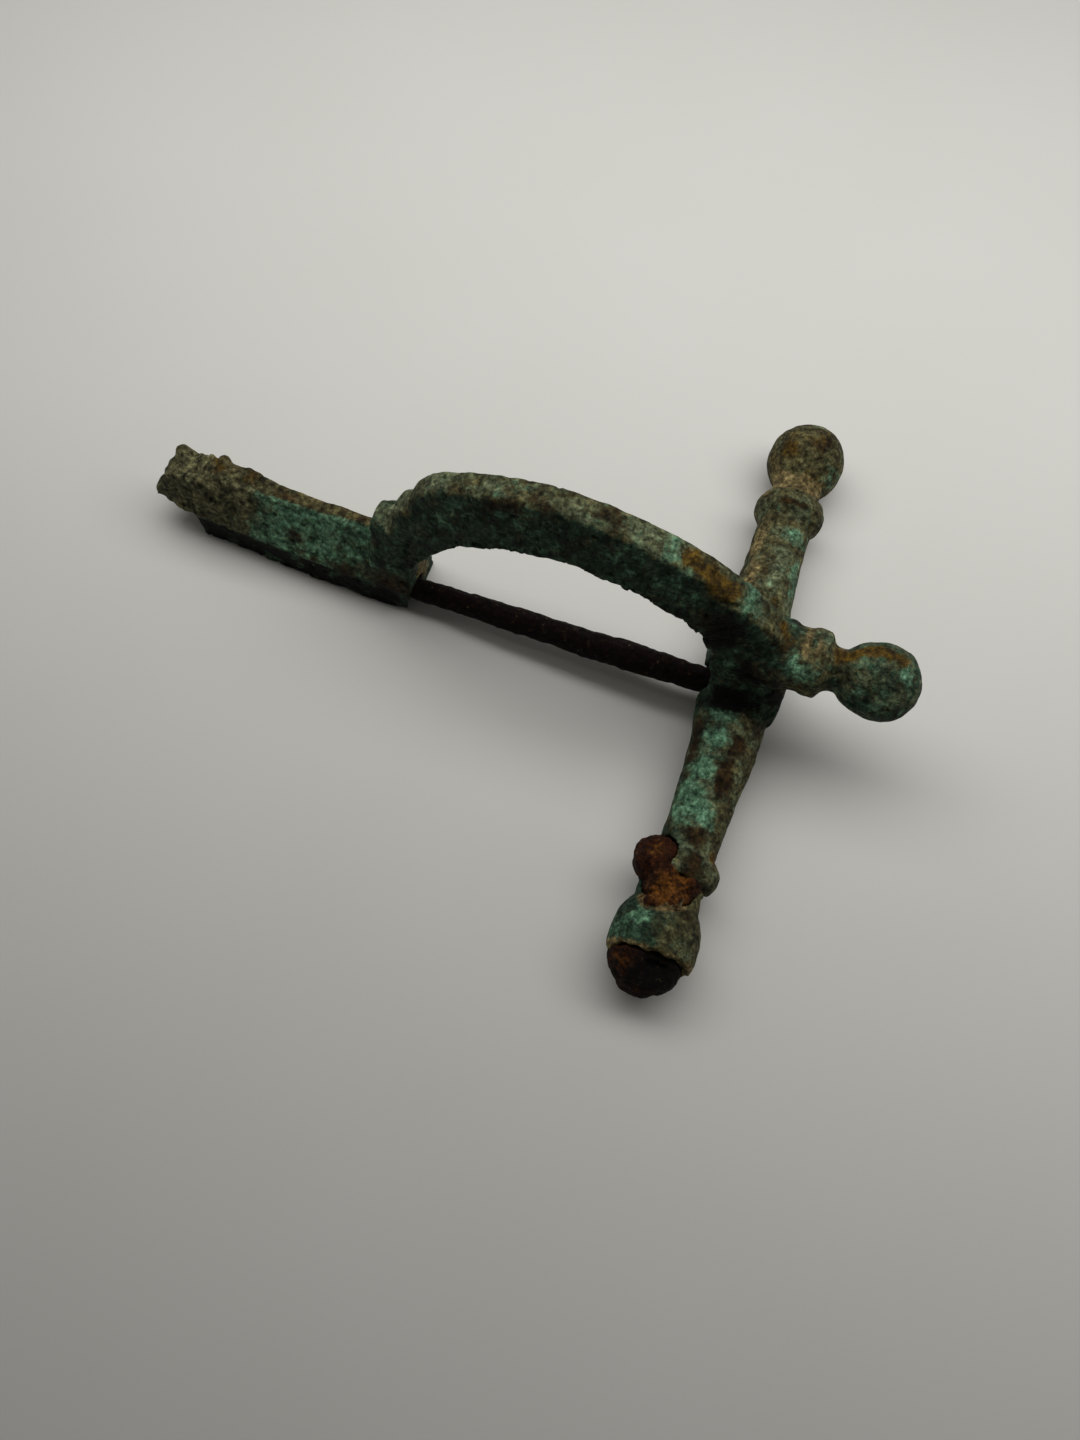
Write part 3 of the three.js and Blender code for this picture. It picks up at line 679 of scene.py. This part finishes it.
def make_patina(name):
    """Corroded copper alloy, coloured by the amounts painted on the piece."""
    material, tree, shader = new_material(name)
    coords = add(tree, "TexCoord").outputs["Object"]
    filed = add(tree, "Mapping", {
        "Vector": coords, "Rotation": (0, FILING_ANGLE, 0), "Scale": (1, 1, FILING_STRETCH)})
    skin = two_tones(tree, filed.outputs["Vector"], *GROUND)
    for number, (layer, low, high, size) in enumerate(LAYERS, start=1):
        shifted = add(tree, "Mapping", {
            "Vector": coords, "Location": (LAYER_SHIFT * number, 0.007, 0.002)}).outputs["Vector"]
        cover = ragged_cover(tree, shifted, layer, EDGE_RAGS * size)
        own = two_tones(tree, shifted, low, high, size)
        skin = add(tree, "Mix", {0: cover, 6: skin, 7: own}, data_type="RGBA").outputs[2]
    grit = add(tree, "TexNoise", {
        "Vector": coords, "Scale": per_mm(GRIT), "Detail": 4.0, "Roughness": 0.65})
    light = add(tree, "MapRange", {
        "Value": grit.outputs["Fac"], "From Min": 0.34, "From Max": 0.68,
        "To Min": 0.5, "To Max": 1.85})
    cloud = add(tree, "TexNoise", {
        "Vector": coords, "Scale": per_mm(CLOUDS), "Detail": 4.0, "Roughness": 0.65})
    shade = add(tree, "MapRange", {
        "Value": cloud.outputs["Fac"], "From Min": 0.34, "From Max": 0.66,
        "To Min": 0.5, "To Max": 1.5})
    value = add(tree, "Math", {
        0: light.outputs["Result"], 1: shade.outputs["Result"]}, operation="MULTIPLY")
    skin = add(tree, "VectorMath", {0: skin, "Scale": value.outputs["Value"]}, operation="SCALE")
    tree.links.new(skin.outputs["Vector"], shader.inputs["Base Color"])
    polish = add(tree, "MapRange", {
        "Value": grit.outputs["Fac"], "To Min": 0.95, "To Max": 0.55})
    tree.links.new(polish.outputs["Result"], shader.inputs["Roughness"])
    shader.inputs["Specular IOR Level"].default_value = DUSTY_SPECULAR
    lumps = add(tree, "TexNoise", {
        "Vector": coords, "Scale": per_mm(LUMPS), "Detail": 5.0, "Roughness": 0.65})
    bump = add(tree, "Bump", {
        "Height": lumps.outputs["Fac"], "Strength": 1.0, "Distance": 0.4 * MM})
    fine_bump = add(tree, "Bump", {
        "Height": grit.outputs["Fac"], "Strength": 0.8, "Distance": 0.15 * MM,
        "Normal": bump.outputs["Normal"]})
    tree.links.new(fine_bump.outputs["Normal"], shader.inputs["Normal"])
    return material


patina = make_patina("bronze_patina")
brown_patina = make_patina("brown_bronze_patina")
print("two patinas, alike except for what is painted on their pieces")


# %% [markdown]
# Iron rusts to a dark, crumbly orange-brown with no gloss. The blister on the collar and the
# filling of the burst knob are nearly black, with orange where the crust has flaked. The pin is
# a dull, almost black brown all along. It is oxide right through its surface, so it isn't given
# the metallic look that bare iron would have. The layers are made with the patina's helpers, and
# the crumbs, like the grit, are drawn coarser than they are.

# %% Rust and the iron pin
# near-black tones for painted shade with some dirt, and the tones of pale scale
SHADE_AND_DIRT_TONES, PALE_TONES = ("#020101", "#100703"), ("#4a3f25", "#8d7e56")
RUST_GRIT = 0.5
RUST_SHIFT = (0.011, 0.003, 0)  # metres


def make_rust(name, low, high, flaked_low, flaked_high, size):
    """Crumbly iron rust, brighter where painted as flaked, with black painted shade and dirt, and pale
    scale.
    """
    material, tree, shader = new_material(name)
    coords = add(tree, "TexCoord").outputs["Object"]
    skin = two_tones(tree, coords, low, high, size)
    bright = two_tones(tree, coords, flaked_low, flaked_high, size)
    flaked = ragged_cover(tree, coords, "flaked", 3 * size)
    skin = add(tree, "Mix", {0: flaked, 6: skin, 7: bright}, data_type="RGBA").outputs[2]
    shifted = add(tree, "Mapping", {"Vector": coords, "Location": RUST_SHIFT}).outputs["Vector"]
    # black painted shade, partly dirt, mixed in where its amount is painted
    shade_and_dirt_cover = ragged_cover(tree, shifted, "shade_and_dirt", 3 * size)
    black = two_tones(tree, shifted, *SHADE_AND_DIRT_TONES, size)
    skin = add(tree, "Mix", {0: shade_and_dirt_cover, 6: skin, 7: black}, data_type="RGBA").outputs[2]
    scaled = ragged_cover(tree, coords, "pale", size)
    scale = two_tones(tree, coords, *PALE_TONES, size)
    skin = add(tree, "Mix", {0: scaled, 6: skin, 7: scale}, data_type="RGBA").outputs[2]
    grit = add(tree, "TexNoise", {
        "Vector": coords, "Scale": per_mm(RUST_GRIT), "Detail": 4.0, "Roughness": 0.75})
    light = add(tree, "MapRange", {
        "Value": grit.outputs["Fac"], "From Min": 0.34, "From Max": 0.68,
        "To Min": 0.3, "To Max": 1.9})
    skin = add(tree, "VectorMath", {0: skin, "Scale": light.outputs["Result"]}, operation="SCALE")
    tree.links.new(skin.outputs["Vector"], shader.inputs["Base Color"])
    shader.inputs["Roughness"].default_value = 0.8
    shader.inputs["Specular IOR Level"].default_value = DUSTY_SPECULAR
    crumbs = add(tree, "TexNoise", {
        "Vector": coords, "Scale": per_mm(size), "Detail": 5.0, "Roughness": 0.75})
    bump = add(tree, "Bump", {
        "Height": crumbs.outputs["Fac"], "Strength": 1.0, "Distance": 0.35 * MM})
    tree.links.new(bump.outputs["Normal"], shader.inputs["Normal"])
    return material


rust_crust = make_rust("iron_rust", "#150602", "#43200a", "#2c1707", "#84521c", 0.55)
dark_iron = make_rust("corroded_iron", "#070302", "#1d0d08", "#1a0a05", "#3a1a0a", 0.6)
print("rust and dark iron")

# %% [markdown]
# Each dressed piece takes the place of its CAD node, takes its material and rides on the body that
# carries it. Only the pin rides on the moving body. The knobs and
# the axle are fixed to the brooch by rust.

# %% Put the pieces in the brooch's place
FITTINGS = [
    # piece, CAD node, body, slot, material
    (body, "body", "brooch", "bronze", patina),
    (near_knob, "near_knob", "brooch", "bronze", patina),
    (far_knob, "far_knob", "brooch", "brown_bronze", brown_patina),
    (rust, "axle", "brooch", "rust", rust_crust),
    (pin, "pin", "pin", "iron", dark_iron),
]
for piece, node, rides_on, slot, material in FITTINGS:
    piece.data.materials.append(material)
    only(piece)
    bpy.ops.object.shade_smooth()
    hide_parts(node)
    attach(piece, rides_on)
print(len(FITTINGS), "pieces fitted")

# %% [markdown]
# At the end nothing is left selected.

# %% Leave nothing selected
bpy.ops.object.select_all(action="DESELECT")
